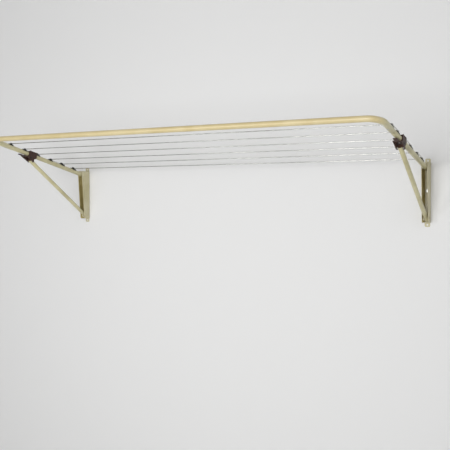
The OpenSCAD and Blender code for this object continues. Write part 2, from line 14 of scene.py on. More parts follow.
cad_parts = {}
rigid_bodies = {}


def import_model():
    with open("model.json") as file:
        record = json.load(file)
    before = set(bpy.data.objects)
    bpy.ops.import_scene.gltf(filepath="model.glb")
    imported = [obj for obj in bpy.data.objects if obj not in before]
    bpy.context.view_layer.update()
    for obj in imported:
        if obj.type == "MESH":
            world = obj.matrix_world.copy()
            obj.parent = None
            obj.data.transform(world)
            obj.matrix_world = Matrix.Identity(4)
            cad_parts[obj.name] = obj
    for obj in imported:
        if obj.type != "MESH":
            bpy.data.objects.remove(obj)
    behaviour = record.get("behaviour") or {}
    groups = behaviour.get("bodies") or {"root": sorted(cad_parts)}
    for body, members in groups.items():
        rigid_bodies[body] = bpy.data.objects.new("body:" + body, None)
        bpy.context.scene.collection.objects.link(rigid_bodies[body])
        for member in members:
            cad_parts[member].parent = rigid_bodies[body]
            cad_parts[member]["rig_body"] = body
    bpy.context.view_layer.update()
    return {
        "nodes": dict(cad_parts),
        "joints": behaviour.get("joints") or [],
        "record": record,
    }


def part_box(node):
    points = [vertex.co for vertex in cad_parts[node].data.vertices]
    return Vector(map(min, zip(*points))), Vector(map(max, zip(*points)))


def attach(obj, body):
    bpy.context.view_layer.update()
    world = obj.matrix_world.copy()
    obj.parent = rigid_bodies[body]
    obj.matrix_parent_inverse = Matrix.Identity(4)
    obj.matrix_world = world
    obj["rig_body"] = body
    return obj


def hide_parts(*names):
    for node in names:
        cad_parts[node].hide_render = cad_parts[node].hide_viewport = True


bl_info = {
    "name": "Fold Down Drying Rack",
    "version": (1, 0, 0),
    "blender": (4, 5, 0),
    "location": "View3D > Sidebar > Drying Rack",
    "description": "Builds the enamel, mouldings, fasteners and line of a wall mounted drying rack",
    "category": "Add Mesh",
}

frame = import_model()

MM = 0.001
SIDES = ("left", "right")
LINES = range(1, 7)
TUBE_SIDES = 40  # flats round a tube or a pin's head
LINE_SIDES = 20  # flats round the line
SHARP = math.radians(40)  # two faces that meet at more than this meet at an edge
record = frame["record"]
joints = {j["name"]: j for j in frame["joints"]}
pattern = next(m for m in record["mounts"] if m["name"] == "wall_bolts")

half_span = pattern["dims"]["spacing_x_mm"] * MM / 2
arm_pivot = Vector(joints["frame_fold"]["pos_m"])
open_tilt = math.radians(joints["frame_fold"]["range_deg"][1] - 90)
# Local X across, -Y out along the open frame, Z above it.
open_frame = Matrix.Translation((0, *arm_pivot.yz)) @ Matrix.Rotation(-open_tilt, 4, "X")
front_low, front_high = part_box("front_tube")
front_r = front_high.x - half_span
front_y = front_low.y + front_r  # the front tube's centre line


def side_x(side):
    """The X of the left or right bracket's centre plane."""
    return -half_span if side == "left" else half_span


# ---------- settings ----------


class RackCameraSettings(bpy.types.PropertyGroup):
    place: bpy.props.FloatVectorProperty(
        name="Place", description="Where the camera stands", size=3, subtype="XYZ", unit="LENGTH",
        default=(1.963, -3.776, -0.066))
    heading: bpy.props.FloatProperty(
        name="Heading", description="Turn to the left of straight at the wall", subtype="ANGLE",
        default=math.radians(28.40))
    tilt: bpy.props.FloatProperty(
        name="Tilt", description="Tilt above the horizontal", subtype="ANGLE",
        default=math.radians(-1.507))
    roll: bpy.props.FloatProperty(
        name="Roll", description="Turn about the line of sight", subtype="ANGLE",
        default=math.radians(-0.128))
    lens: bpy.props.FloatProperty(
        name="Lens", description="Focal length", subtype="DISTANCE_CAMERA", unit="CAMERA", default=59.3)


class RackStageSettings(bpy.types.PropertyGroup):
    wall_colour: bpy.props.StringProperty(
        name="Wall colour", description="Painted wall, sRGB hex", default="e3e3e3")
    floor_colour: bpy.props.StringProperty(
        name="Floor colour", description="Plain floor, sRGB hex", default="dcdcda")
    floor_drop: bpy.props.FloatProperty(
        name="Floor drop", description="Floor below the middle of the brackets", unit="LENGTH", default=1.95)
    key_power: bpy.props.FloatProperty(
        name="Key light", description="Power of the large soft light", unit="POWER", default=104.5)
    side_power: bpy.props.FloatProperty(
        name="Side light", description="Power of the weaker soft light on the left", unit="POWER",
        default=40.0)
    sky: bpy.props.FloatProperty(
        name="Sky", description="Strength of the surrounding light", default=0.6)


class RackEnamelSettings(bpy.types.PropertyGroup):
    cream: bpy.props.StringProperty(
        name="Cream", description="Stove enamel of the front tube, sRGB hex", default="d0c197")
    cream_aged: bpy.props.StringProperty(
        name="Aged cream", description="Where the cream enamel has yellowed, sRGB hex", default="c6b586")
    # Painted shade: the arms and struts are the cream enamel, drawn in this darker, greyer colour for the
    # shade on them where the light reaches them only at a slant. The aged tone below is its darker mottle,
    # which the brackets share.
    cream_in_painted_shade: bpy.props.StringProperty(
        name="Khaki", description="Stove enamel of the arms and struts, sRGB hex", default="c9c29a")
    cream_in_painted_shade_aged: bpy.props.StringProperty(
        name="Aged khaki", description="Where the khaki enamel has darkened, sRGB hex", default="b3ab84")
    bracket: bpy.props.StringProperty(
        name="Brackets", description="Stove enamel outside the brackets, sRGB hex", default="c3bc9c")
    # Painted shade: the enamel on the inner faces of the brackets' flanges, darker and more golden for the
    # shade inside the channel. The aged tone is its darker mottle.
    inside: bpy.props.StringProperty(
        name="Inside", description="Stained enamel inside the brackets, sRGB hex", default="c8ba80")
    inside_aged: bpy.props.StringProperty(
        name="Aged inside", description="Grime inside the brackets, sRGB hex", default="9c8c58")
    gloss: bpy.props.FloatProperty(
        name="Roughness", description="Roughness of the enamel", min=0.05, max=1, default=0.3)


class RackBracketSettings(bpy.types.PropertyGroup):
    tab: bpy.props.FloatProperty(
        name="Tab", description="Height of the mounting tab above and below the channel", unit="LENGTH",
        default=22 * MM)
    sheet: bpy.props.FloatProperty(
        name="Sheet", description="Thickness of the pressed sheet", unit="LENGTH", default=2 * MM)
    pin: bpy.props.FloatProperty(
        name="Pin", description="Diameter of the pivot pins' shanks", unit="LENGTH", default=8 * MM)


class RackTubeSettings(bpy.types.PropertyGroup):
    bend_radius: bpy.props.FloatProperty(
        name="Bend radius", description="Centre line radius of the front tube's bends", unit="LENGTH",
        default=65 * MM)
    front_wall: bpy.props.FloatProperty(
        name="Front wall", description="Wall of the front tube", unit="LENGTH", default=1.4 * MM)
    arm_wall: bpy.props.FloatProperty(
        name="Arm wall", description="Wall of the side arms", unit="LENGTH", default=1.6 * MM)
    strut_wall: bpy.props.FloatProperty(
        name="Strut wall", description="Wall of the struts", unit="LENGTH", default=1.5 * MM)
    strut_tail: bpy.props.FloatProperty(
        name="Strut tail", description="Length of strut beyond each pin", unit="LENGTH", default=12 * MM)


class RackLineSettings(bpy.types.PropertyGroup):
    tail: bpy.props.FloatProperty(
        name="Tail", description="Line between its last bend and its knot", unit="LENGTH", default=13 * MM)
    knot: bpy.props.FloatProperty(
        name="Knot", description="Size of the knots at the line's ends", unit="LENGTH", default=9 * MM)


class RackLeverSettings(bpy.types.PropertyGroup):
    ridges: bpy.props.IntProperty(
        name="Ridges", description="Grip ridges under a lever's tongue", min=0, default=4)
    ridge_pitch: bpy.props.FloatProperty(
        name="Ridge pitch", description="Distance from ridge to ridge", unit="LENGTH", default=5 * MM)
    ridge_width: bpy.props.FloatProperty(
        name="Ridge width", description="Width of one ridge", unit="LENGTH", default=2 * MM)
    ridge_height: bpy.props.FloatProperty(
        name="Ridge height", description="How far a ridge stands out", unit="LENGTH", default=0.9 * MM)
    spring_wire: bpy.props.FloatProperty(
        name="Spring wire", description="Diameter of the return spring's wire", unit="LENGTH",
        default=0.9 * MM)
    spring_turns: bpy.props.IntProperty(
        name="Spring turns", description="Turns of the return spring", min=1, default=3)


# ---------- materials ----------


def linear(hex_colour):
    """An sRGB hex colour as linear RGBA."""
    parts = [int(hex_colour[i:i + 2], 16) / 255 for i in (0, 2, 4)]
    return tuple(c / 12.92 if c <= 0.04045 else ((c + 0.055) / 1.055) ** 2.4 for c in parts) + (1.0,)


def add(tree, kind, settings=(), **links):
    """Adds a node. settings go to its properties, links to its inputs: a value, or (node, output)."""
    made = tree.nodes.new(kind)
    for name, value in dict(settings).items():
        setattr(made, name, value)
    for name, value in links.items():
        socket = made.inputs[int(name[1:])] if name[0] == "_" else made.inputs[name.replace("_", " ")]
        if isinstance(value, tuple) and isinstance(value[0], bpy.types.Node):
            tree.links.new(value[0].outputs[value[1]], socket)
        else:
            socket.default_value = value
    return made


def new_material(name, **shader):
    """A material with a Principled shader, its output, and coordinates in metres."""
    material = bpy.data.materials.new(name)
    material.use_nodes = True
    tree = material.node_tree
    tree.nodes.clear()
    surface = add(tree, "ShaderNodeBsdfPrincipled", (), **shader)
    add(tree, "ShaderNodeOutputMaterial", (), Surface=(surface, "BSDF"))
    place = add(tree, "ShaderNodeTexCoord")
    return material, tree, surface, place


def enamel(name, colour, aged, roughness, painted_shade_fade=None):
    """Stove enamel: pigment baked on steel. Semi-gloss, slightly rippled like orange peel, with
    broad yellowing and a few dull specks of grime. The last argument is a colour and two Y values: the
    enamel fades to that colour from the one to the other, a painted shade where its surface turns from the
    light."""
    material, tree, surface, place = new_material(name, IOR=1.5, Coat_Weight=0.15, Coat_Roughness=0.2)
    ripple_mm, mottle_mm, speck_mm = 2.5, 90, 9
    grime_colour = "8a7a55"
    mottle = add(tree, "ShaderNodeTexNoise", {}, Vector=(place, "Object"), Scale=1000 / mottle_mm, Detail=4.0)
    tone = add(tree, "ShaderNodeMapRange", {}, Value=(mottle, "Fac"), From_Min=0.35, From_Max=0.7)
    colours = add(tree, "ShaderNodeMix", {"data_type": "RGBA"}, Factor=(tone, "Result"),
                  _6=linear(colour), _7=linear(aged))
    # Painted shade: the enamel fades along Y to a darker, greyer colour where the surface turns from the
    # light.
    if painted_shade_fade:
        painted_shade_colour, from_y, to_y = painted_shade_fade
        axes = add(tree, "ShaderNodeSeparateXYZ", {}, Vector=(place, "Object"))
        along = add(tree, "ShaderNodeMapRange", {}, Value=(axes, "Y"), From_Min=from_y, From_Max=to_y)
        colours = add(tree, "ShaderNodeMix", {"data_type": "RGBA"}, Factor=(along, "Result"),
                      _6=(colours, 2), _7=linear(painted_shade_colour))
    speck = add(tree, "ShaderNodeTexNoise", {}, Vector=(place, "Object"), Scale=1000 / speck_mm, Detail=6.0)
    grime = add(tree, "ShaderNodeMapRange", {}, Value=(speck, "Fac"), From_Min=0.62, From_Max=0.8,
                To_Max=0.35)
    dirty = add(tree, "ShaderNodeMix", {"data_type": "RGBA"}, Factor=(grime, "Result"),
                _6=(colours, 2), _7=linear(grime_colour))
    tree.links.new(dirty.outputs[2], surface.inputs["Base Color"])
    dull = add(tree, "ShaderNodeMapRange", {}, Value=(speck, "Fac"), To_Min=roughness - 0.06,
               To_Max=roughness + 0.12)
    tree.links.new(dull.outputs["Result"], surface.inputs["Roughness"])
    ripple = add(tree, "ShaderNodeTexNoise", {}, Vector=(place, "Object"), Scale=1000 / ripple_mm, Detail=2.0)
    bump = add(tree, "ShaderNodeBump", {}, Height=(ripple, "Fac"), Strength=0.06, Distance=0.0004)
    tree.links.new(bump.outputs["Normal"], surface.inputs["Normal"])
    return material


def moulded_plastic(name, colour, roughness, grain_mm):
    """Injection moulded nylon: a fine spark-eroded grain and slightly uneven sheen."""
    material, tree, surface, place = new_material(name, IOR=1.53, Specular_IOR_Level=0.3)
    cloud_mm = 16.7
    grain = add(tree, "ShaderNodeTexNoise", {}, Vector=(place, "Object"), Scale=1000 / grain_mm, Detail=3.0)
    cloud = add(tree, "ShaderNodeTexNoise", {}, Vector=(place, "Object"), Scale=1000 / cloud_mm, Detail=3.0)
    r, g, b, _ = linear(colour)
    pale = (r * 1.6 + 0.003, g * 1.6 + 0.003, b * 1.6 + 0.003, 1)
    tint = add(tree, "ShaderNodeMix", {"data_type": "RGBA"}, Factor=(cloud, "Fac"), _6=(r, g, b, 1), _7=pale)
    tree.links.new(tint.outputs[2], surface.inputs["Base Color"])
    sheen = add(tree, "ShaderNodeMapRange", {}, Value=(grain, "Fac"), To_Min=roughness - 0.1,
                To_Max=roughness + 0.1)
    tree.links.new(sheen.outputs["Result"], surface.inputs["Roughness"])
    bump = add(tree, "ShaderNodeBump", {}, Height=(grain, "Fac"), Strength=0.2, Distance=0.0002)
    tree.links.new(bump.outputs["Normal"], surface.inputs["Normal"])
    return material


def plated_steel(name, colour, roughness):
    """Zinc plated steel: a bright metal with faint cloudy passivation."""
    material, tree, surface, place = new_material(name, Metallic=1.0)
    cloud_mm = 2.86
    cloud = add(tree, "ShaderNodeTexNoise", {}, Vector=(place, "Object"), Scale=1000 / cloud_mm, Detail=4.0)
    r, g, b, _ = linear(colour)
    tint = add(tree, "ShaderNodeMix", {"data_type": "RGBA"}, Factor=(cloud, "Fac"),
               _6=(r, g, b, 1), _7=(r * 0.75, g * 0.76, b * 0.78, 1))
    tree.links.new(tint.outputs[2], surface.inputs["Base Color"])
    dull = add(tree, "ShaderNodeMapRange", {}, Value=(cloud, "Fac"), To_Min=roughness - 0.08,
               To_Max=roughness + 0.12)
    tree.links.new(dull.outputs["Result"], surface.inputs["Roughness"])
    return material


def coated_line():
    """Wire line in a clear PVC coat: bright strands under a glossy skin, so it takes its tone from
    what surrounds it. The strands' lay is drawn coarser than it is, so that it shows."""
    material, tree, surface, place = new_material(
        "clear_coated_wire_line", IOR=1.53, Metallic=0.9, Roughness=0.2, Coat_Weight=0.5, Coat_Roughness=0.1)
    lay_mm = 52.8
    bands_per_unit = 10 / math.tau  # along X, in a diagonal wave texture of scale 1
    lay = add(tree, "ShaderNodeTexWave", {"bands_direction": "DIAGONAL"}, Vector=(place, "Object"),
              Scale=1000 / lay_mm / bands_per_unit, Distortion=0.5)
    tint = add(tree, "ShaderNodeMix", {"data_type": "RGBA"}, Factor=(lay, "Fac"),
               _6=linear("bcbcb8"), _7=linear("d0d0cc"))
    tree.links.new(tint.outputs[2], surface.inputs["Base Color"])
    return material


def stage_paint(name, colour, one_sided):
    """Flat paint for the stage. The one-sided wall lets a view from behind see the rack's back."""
    material, tree, surface, place = new_material(name, Roughness=0.9)
    surface.inputs["Base Color"].default_value = linear(colour)
    if one_sided:
        side = add(tree, "ShaderNodeNewGeometry")
        clear = add(tree, "ShaderNodeBsdfTransparent")
        either = add(tree, "ShaderNodeMixShader", {}, _0=(side, "Backfacing"), _1=(surface, "BSDF"),
                     _2=(clear, "BSDF"))
        output = next(n for n in tree.nodes if n.type == "OUTPUT_MATERIAL")
        tree.links.new(either.outputs[0], output.inputs["Surface"])
    return material


FINISHES = {}


def finish(name):
    """The finish of that name, made the first time that it is asked for."""
    if name not in FINISHES:
        s = bpy.context.scene.rack_enamel
        FINISHES[name] = {
            # The front tube's returns fade to the arms' darker, greyer enamel, a painted shade for their
            # sides that the light reaches only at a slant.
            "cream": lambda: enamel("cream_stove_enamel", s.cream, s.cream_aged, s.gloss,
                                    (s.cream_in_painted_shade, front_y + 5 * MM, front_y + 50 * MM)),
            # The arms and struts: the cream enamel drawn darker and greyer as painted shade.
            "cream_in_painted_shade": lambda: enamel("cream_stove_enamel_in_painted_shade", s.cream_in_painted_shade, s.cream_in_painted_shade_aged, s.gloss + 0.06),
            "bracket": lambda: enamel("bracket_stove_enamel", s.bracket, s.cream_in_painted_shade_aged, s.gloss + 0.06),
            # Painted shade for the inside of the brackets' channels.
            "inside": lambda: enamel("channel_enamel_in_painted_shade", s.inside, s.inside_aged, s.gloss + 0.25),
            "brown": lambda: moulded_plastic("brown_glass_filled_nylon", "36221b", 0.5, 0.8),
            "black": lambda: moulded_plastic("black_acetal", "0e0d0d", 0.6, 0.8),
            "nylon": lambda: moulded_plastic("natural_nylon", "d9d4c2", 0.5, 1.0),
            "zinc": lambda: plated_steel("zinc_plated_steel", "d6d6d2", 0.35),
            "dark_zinc": lambda: plated_steel("black_zinc_plated_steel", "4a4744", 0.42),
            "wire": lambda: plated_steel("spring_steel_wire", "8f9092", 0.35),
            "line": coated_line,
        }[name]()
    return FINISHES[name]


# ---------- mesh helpers ----------


def place_on_arm(side):
    """The open frame's place, moved across to one arm's centre line."""
    return Matrix.Translation((side_x(side), 0, 0)) @ open_frame


def place_on_strut(side):
    """Local -Y from the strut's lower pivot to its cross pin; also the distance between the two."""
    pivot = Vector(joints[side + "_strut_swing"]["pos_m"])
    reach = centre(side + "_strut_cross_pin") - pivot
    return Matrix.Translation(pivot) @ Matrix.Rotation(-math.atan2(reach.z, -reach.y), 4, "X"), reach.length


def centre(node):
    """The middle of a CAD node's box."""
    low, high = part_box(node)
    return (low + high) / 2


def span_on_arm(node, radius):
    """Where a tube along the arm starts and ends, measured from the frame's pivot."""
    low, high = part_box(node)
    tip = radius * math.sin(open_tilt)
    return ((arm_pivot.y + tip - high.y) / math.cos(open_tilt),
            (arm_pivot.y - tip - low.y) / math.cos(open_tilt))


def link(name, mesh, material):
    """A new object of the mesh, shaded smooth between its sharp edges."""
    mesh.name = name
    mesh.materials.append(material)
    mesh.shade_smooth()
    mesh.set_sharp_from_angle(angle=SHARP)
    piece = bpy.data.objects.new(name, mesh)
    bpy.context.scene.collection.objects.link(piece)
    return piece


def stand_in(piece, *nodes):
    """The piece rides where its CAD nodes ride and hides them."""
    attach(piece, frame["nodes"][nodes[0]]["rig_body"])
    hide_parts(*nodes)
    return piece


def ring(built, middle, along, radius, sides):
    """A ring of vertices round a path that runs nearly level."""
    across = along.cross(Vector((0, 0, 1))).normalized()
    above = across.cross(along).normalized()
    turns = [math.tau * k / sides for k in range(sides)]
    return [built.verts.new(middle + radius * (math.cos(a) * across + math.sin(a) * above)) for a in turns]


def skin(built, stations, sides=32, closed=False):
    """Joins rings at the stations, each a middle, a direction and a radius, and caps open ends."""
    rings = [ring(built, *station, sides) for station in stations]
    pairs = list(zip(rings, rings[1:] + rings[:1]))
    for a, b in pairs if closed else pairs[:-1]:
        for k in range(sides):
            built.faces.new((a[k - 1], a[k], b[k], b[k - 1]))
    if not closed:
        built.faces.new(rings[0])
        built.faces.new(reversed(rings[-1]))


def directions(path):
    """The path's direction at each of its points."""
    ends = [path[0]] + path + [path[-1]]
    return [(b - a).normalized() for a, b in zip(ends, ends[2:])]


def pipe(built, path, outer, bore=0, sides=32, rim=0.4 * MM):
    """A pipe along a path, or a rod where bore is 0, with rounded rims."""
    along = directions(path)
    first, last = along[0] * rim, along[-1] * rim
    outside = [(path[0], along[0], outer - rim), (path[0] + first * 0.3, along[0], outer - 0.3 * rim),
               (path[0] + first, along[0], outer)]
    outside += [(p, a, outer) for p, a in zip(path[1:-1], along[1:-1])]
    outside += [(path[-1] - last, along[-1], outer), (path[-1] - last * 0.3, along[-1], outer - 0.3 * rim),
                (path[-1], along[-1], outer - rim)]
    if bore:
        outside += [(p, a, bore) for p, a in reversed(list(zip(path, along)))]
    skin(built, outside, sides, closed=bool(bore))


def arc(middle, radius, start, turn, steps):
    """Points of a level arc, from the start angle through the turn, in degrees."""
    angles = [math.radians(start + turn * k / steps) for k in range(steps + 1)]
    return [middle + radius * Vector((math.cos(a), math.sin(a), 0)) for a in angles]


def from_bmesh(name, built, place, material, *nodes):
    """Turns a finished bmesh in local coordinates into a piece that stands in for the nodes."""
    bmesh.ops.recalc_face_normals(built, faces=built.faces)
    mesh = bpy.data.meshes.new(name)
    built.to_mesh(mesh)
    built.free()
    mesh.transform(place)
    return stand_in(link(name, mesh, material), *nodes)


def cad_copy(node, name, material, extras=None):
    """A CAD node's mesh with its faces joined up, its flat areas made whole and any extra ribs."""
    built = bmesh.new()
    built.from_mesh(frame["nodes"][node].data)
    bmesh.ops.remove_doubles(built, verts=built.verts, dist=0.002 * MM)
    bmesh.ops.dissolve_limit(built, angle_limit=math.radians(0.5), verts=built.verts, edges=built.edges)
    if extras:
        extras(built)
    mesh = bpy.data.meshes.new(name)
    built.to_mesh(mesh)
    built.free()
    return link(name, mesh, material)


def apply_modifiers(piece):
    """Keeps what the piece's modifiers make as its own mesh."""
    ready = piece.evaluated_get(bpy.context.evaluated_depsgraph_get())
    mesh = bpy.data.meshes.new_from_object(ready)
    piece.modifiers.clear()
    piece.data = mesh


def pressed(node, name, edge, material):
    """A metal part: the CAD shape with its sharp edges broken."""
    piece = cad_copy(node, name, material)
    bevel = piece.modifiers.new("edge", "BEVEL")
    bevel.width = edge
    bevel.segments = 2
    bevel.limit_method = "ANGLE"
    bevel.angle_limit = math.radians(35)
    apply_modifiers(piece)
    piece.data.shade_smooth()
    piece.data.set_sharp_from_angle(angle=SHARP)
    return stand_in(piece, node)


def moulded(node, name, material, grain=0.8 * MM, extras=None):
    """A plastic moulding: the CAD shape with any extra ribs fused on, and every edge rounded."""
    piece = cad_copy(node, name, material, extras)
    fuse = piece.modifiers.new("fuse", "REMESH")
    fuse.mode = "VOXEL"
    fuse.voxel_size = grain
    soften = piece.modifiers.new("soften", "SMOOTH")
    soften.iterations = 3
    thin = piece.modifiers.new("thin", "DECIMATE")
    thin.ratio = 0.3
    apply_modifiers(piece)
    piece.data.shade_smooth()
    return stand_in(piece, node)


def block(built, low, high, place):
    """Adds a box between two local corners, for a rib or a ridge."""
    size = Vector(high) - Vector(low)
    scale = Matrix.Diagonal((*size, 1))
    middle = Matrix.Translation((Vector(low) + Vector(high)) / 2)
    bmesh.ops.create_cube(built, size=1, matrix=place @ middle @ scale)


# ---------- operators ----------


class RACK_OT_camera(bpy.types.Operator):
    """Sets up the camera"""
    bl_idname = "rack.camera"
    bl_label = "Camera"

    def execute(self, context):
        s = context.scene.rack_camera
        data = bpy.data.cameras.new("camera")
        data.lens = s.lens
        camera = bpy.data.objects.new("camera", data)
        context.scene.collection.objects.link(camera)
        camera.location = s.place
        turn = Matrix.Rotation(s.heading, 4, "Z") @ Matrix.Rotation(math.pi / 2 + s.tilt, 4, "X")
        camera.rotation_euler = (turn @ Matrix.Rotation(-s.roll, 4, "Z")).to_euler()
        context.scene.camera = camera
        return {"FINISHED"}


class RACK_OT_stage(bpy.types.Operator):
    """Makes the plain wall and floor, the two soft lights and the room's own light"""
    bl_idname = "rack.stage"
    bl_label = "Stage and lights"

    def execute(self, context):
        s = context.scene.rack_stage
        wide, tall = 16.0, 8.0
        paint_y = -0.3 * MM  # the wall's paint stands this far up round the brackets' backs
        wall = self.sheet("stage_wall", [
            (-wide, paint_y, -s.floor_drop), (wide, paint_y, -s.floor_drop),
            (wide, paint_y, tall), (-wide, paint_y, tall)],
            stage_paint("flat_wall_paint", s.wall_colour, True))
        floor = self.sheet("stage_floor", [
            (-wide, -wide, -s.floor_drop), (wide, -wide, -s.floor_drop),
            (wide, wide, -s.floor_drop), (-wide, wide, -s.floor_drop)],
            stage_paint("flat_floor_paint", s.floor_colour, False))
        self.area("key_light", s.key_power, size=2.2, place=(0.7, -4.7, 0.1), aim=(0.4, -0.2, 0))
        self.area("side_light", s.side_power, size=1.6, place=(-1.7, -4.5, 0), aim=(-0.6, -0.2, 0))
        self.surroundings(s.sky)
        context.scene.view_settings.view_transform = "Standard"
        return {"FINISHED"}

    @staticmethod
    def surroundings(strength):
        """A plain room round the rack: dimmer overhead and underfoot, and dimmer on the left."""
        overhead, leftmost, rightmost = 0.4, 0.05, 1.65  # shares of the strength
        world = bpy.data.worlds.new("studio_room")
        world.use_nodes = True
        tree = world.node_tree
        tree.nodes.clear()
        way = add(tree, "ShaderNodeTexCoord")
        axes = add(tree, "ShaderNodeSeparateXYZ", {}, Vector=(way, "Generated"))
        steep = add(tree, "ShaderNodeMath", {"operation": "ABSOLUTE"}, _0=(axes, "Z"))
        level = add(tree, "ShaderNodeMapRange", {}, Value=(steep, 0), To_Min=strength,
                    To_Max=strength * overhead)
        sideways = add(tree, "ShaderNodeMapRange", {}, Value=(axes, "X"), From_Min=-1.0, To_Min=leftmost,
                       To_Max=rightmost)
        both = add(tree, "ShaderNodeMath", {"operation": "MULTIPLY"}, _0=(level, "Result"),
                   _1=(sideways, "Result"))
        light = add(tree, "ShaderNodeBackground", {}, Strength=(both, 0))
        light.inputs["Color"].default_value = (1, 1, 1, 1)
        add(tree, "ShaderNodeOutputWorld", {}, Surface=(light, "Background"))
        bpy.context.scene.world = world

    @staticmethod
    def sheet(name, corners, material):
        """One flat face, for the wall or the floor."""
        mesh = bpy.data.meshes.new(name)
        mesh.from_pydata(corners, [], [(0, 1, 2, 3)])
        return link(name, mesh, material)

    @staticmethod
    def area(name, power, size, place, aim):
        """A soft round light that faces the point it is aimed at."""
        data = bpy.data.lights.new(name, "AREA")
        data.shape = "DISK"
        data.size = size
        data.energy = power
        light = bpy.data.objects.new(name, data)
        bpy.context.scene.collection.objects.link(light)
        light.location = place
        light.rotation_euler = (Vector(aim) - Vector(place)).to_track_quat("-Z", "Y").to_euler()


class RACK_OT_brackets(bpy.types.Operator):
    """Makes the two wall brackets with their wall screws, washers and pivot pins"""
    bl_idname = "rack.brackets"
    bl_label = "Wall brackets"

    def execute(self, context):
        s = context.scene.rack_brackets
        inside, zinc, nylon = (finish(n) for n in ("inside", "zinc", "nylon"))
        for side in SIDES:
            bracket = pressed(side + "_bracket", side + "_wall_bracket", 0.35 * MM, finish("bracket"))
            # Painted shade: the inner faces of the flanges take a darker, more golden enamel for the shade
            # inside the channel.
            bracket.data.materials.append(inside)
            self.paint_shade_in_channel(bracket, side, s)
            for pivot in ("arm", "strut"):
                self.pin(f"{side}_{pivot}_pivot_pin", s.pin / 2, finish("bracket"))
                pressed(f"{side}_{pivot}_bushes", f"{side}_{pivot}_bush_pair", 0.3 * MM, nylon)
        pressed("wall_screws", "hex_wall_screws", 0.3 * MM, zinc)
        pressed("wall_screw_washers", "wall_washers", 0.2 * MM, zinc)
        return {"FINISHED"}

    @staticmethod
    def paint_shade_in_channel(bracket, side, s):
        """The second material, a darker and more golden enamel painted as the shade inside the channel, goes
        on the inner faces of the two flanges.
        """
        low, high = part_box(side + "_bracket")
        inner = (high.x - low.x) / 2 - s.sheet / 2
        channel = (high.z - low.z) / 2 - s.tab
        for face in bracket.data.polygons:
            from_middle = face.center.x - side_x(side)
            looks_in = face.normal.x * from_middle < -1e-5
            if looks_in and abs(from_middle) < inner and abs(face.center.z) < channel:
                face.material_index = 1

    @staticmethod
    def pin(node, shank_r, material):
        """A round pin with a domed head outside each flange."""
        low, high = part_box(node)
        flange_low, flange_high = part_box(node.split("_")[0] + "_bracket")
        rim = 0.3 * MM
        head_r = (high.z - low.z) / 2
        seat_x = (flange_high.x - flange_low.x) / 2
        tall = (high.x - low.x) / 2 - seat_x
        dome = (math.radians(15 * k) for k in range(1, 7))
        profile = [(seat_x + tall * math.cos(a), head_r * math.sin(a)) for a in dome]
        profile += [(seat_x, head_r - rim), (seat_x, shank_r)]
        across = Vector((1, 0, 0))
        stations = [(-x * across, across, r) for x, r in profile]
        stations += [(x * across, across, r) for x, r in reversed(profile)]
        built = bmesh.new()
        skin(built, stations, TUBE_SIDES)
        from_bmesh(node + "_domed", built, Matrix.Translation(centre(node)), material, node)


class RACK_OT_frame(bpy.types.Operator):
    """Makes the bent front tube, the two side arms, their end plugs and the rivets"""
    bl_idname = "rack.frame"
    bl_label = "Frame tubes"

    def execute(self, context):
        s = context.scene.rack_tubes
        return_s, _ = span_on_arm("front_tube", front_r)
        reach = (arm_pivot.y - front_y) / math.cos(open_tilt)
        bend = s.bend_radius
        path = [Vector((-half_span, -return_s, 0))]
        path += arc(Vector((bend - half_span, bend - reach, 0)), bend, 180, 90, 20)
        path += arc(Vector((half_span - bend, bend - reach, 0)), bend, 270, 90, 20)
        path.append(Vector((half_span, -return_s, 0)))
        built = bmesh.new()
        pipe(built, path, front_r, front_r - s.front_wall, TUBE_SIDES)
        from_bmesh("bent_front_tube", built, open_frame, finish("cream"), "front_tube")
        for side in SIDES:
            node = side + "_side_arm"
            low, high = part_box(node)
            arm_r = (high.x - low.x) / 2
            start, end = span_on_arm(node, arm_r)
            built = bmesh.new()
            pipe(built, [Vector((0, -start, 0)), Vector((0, -end, 0))], arm_r, arm_r - s.arm_wall, TUBE_SIDES)
            from_bmesh(side + "_arm_tube", built, place_on_arm(side), finish("cream_in_painted_shade"), node)
            pressed(side + "_arm_end_plug", side + "_arm_cap", 0.4 * MM, finish("black"))
        pressed("frame_rivets", "blind_rivets", 0.3 * MM, finish("zinc"))
        return {"FINISHED"}


class RACK_OT_struts(bpy.types.Operator):
    """Makes the two struts with their end plugs and cross pins"""
    bl_idname = "rack.struts"
    bl_label = "Struts"

    def execute(self, context):
        s = context.scene.rack_tubes
        for side in SIDES:
            place, reach = place_on_strut(side)
            low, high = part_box(side + "_strut")
            outer = (high.x - low.x) / 2
            tail = s.strut_tail
            built = bmesh.new()
            path = [Vector((0, tail, 0)), Vector((0, -reach - tail, 0))]
            pipe(built, path, outer, outer - s.strut_wall, TUBE_SIDES)
            from_bmesh(side + "_strut_tube", built, place, finish("cream_in_painted_shade"), side + "_strut")
            pressed(side + "_strut_end_plugs", side + "_strut_caps", 0.4 * MM, finish("brown"))
            pressed(side + "_strut_cross_pin", side + "_cross_pin", 0.4 * MM, finish("zinc"))
        return {"FINISHED"}


class RACK_OT_hooks(bpy.types.Operator):
    """Makes the moulded line hooks along both arms"""
    bl_idname = "rack.hooks"
    bl_label = "Line hooks"

    def execute(self, context):
        for side in SIDES:
            for i in LINES:
                moulded(f"{side}_line_hook_{i}", f"{side}_hook_{i}", finish("black"), 0.7 * MM)
        return {"FINISHED"}


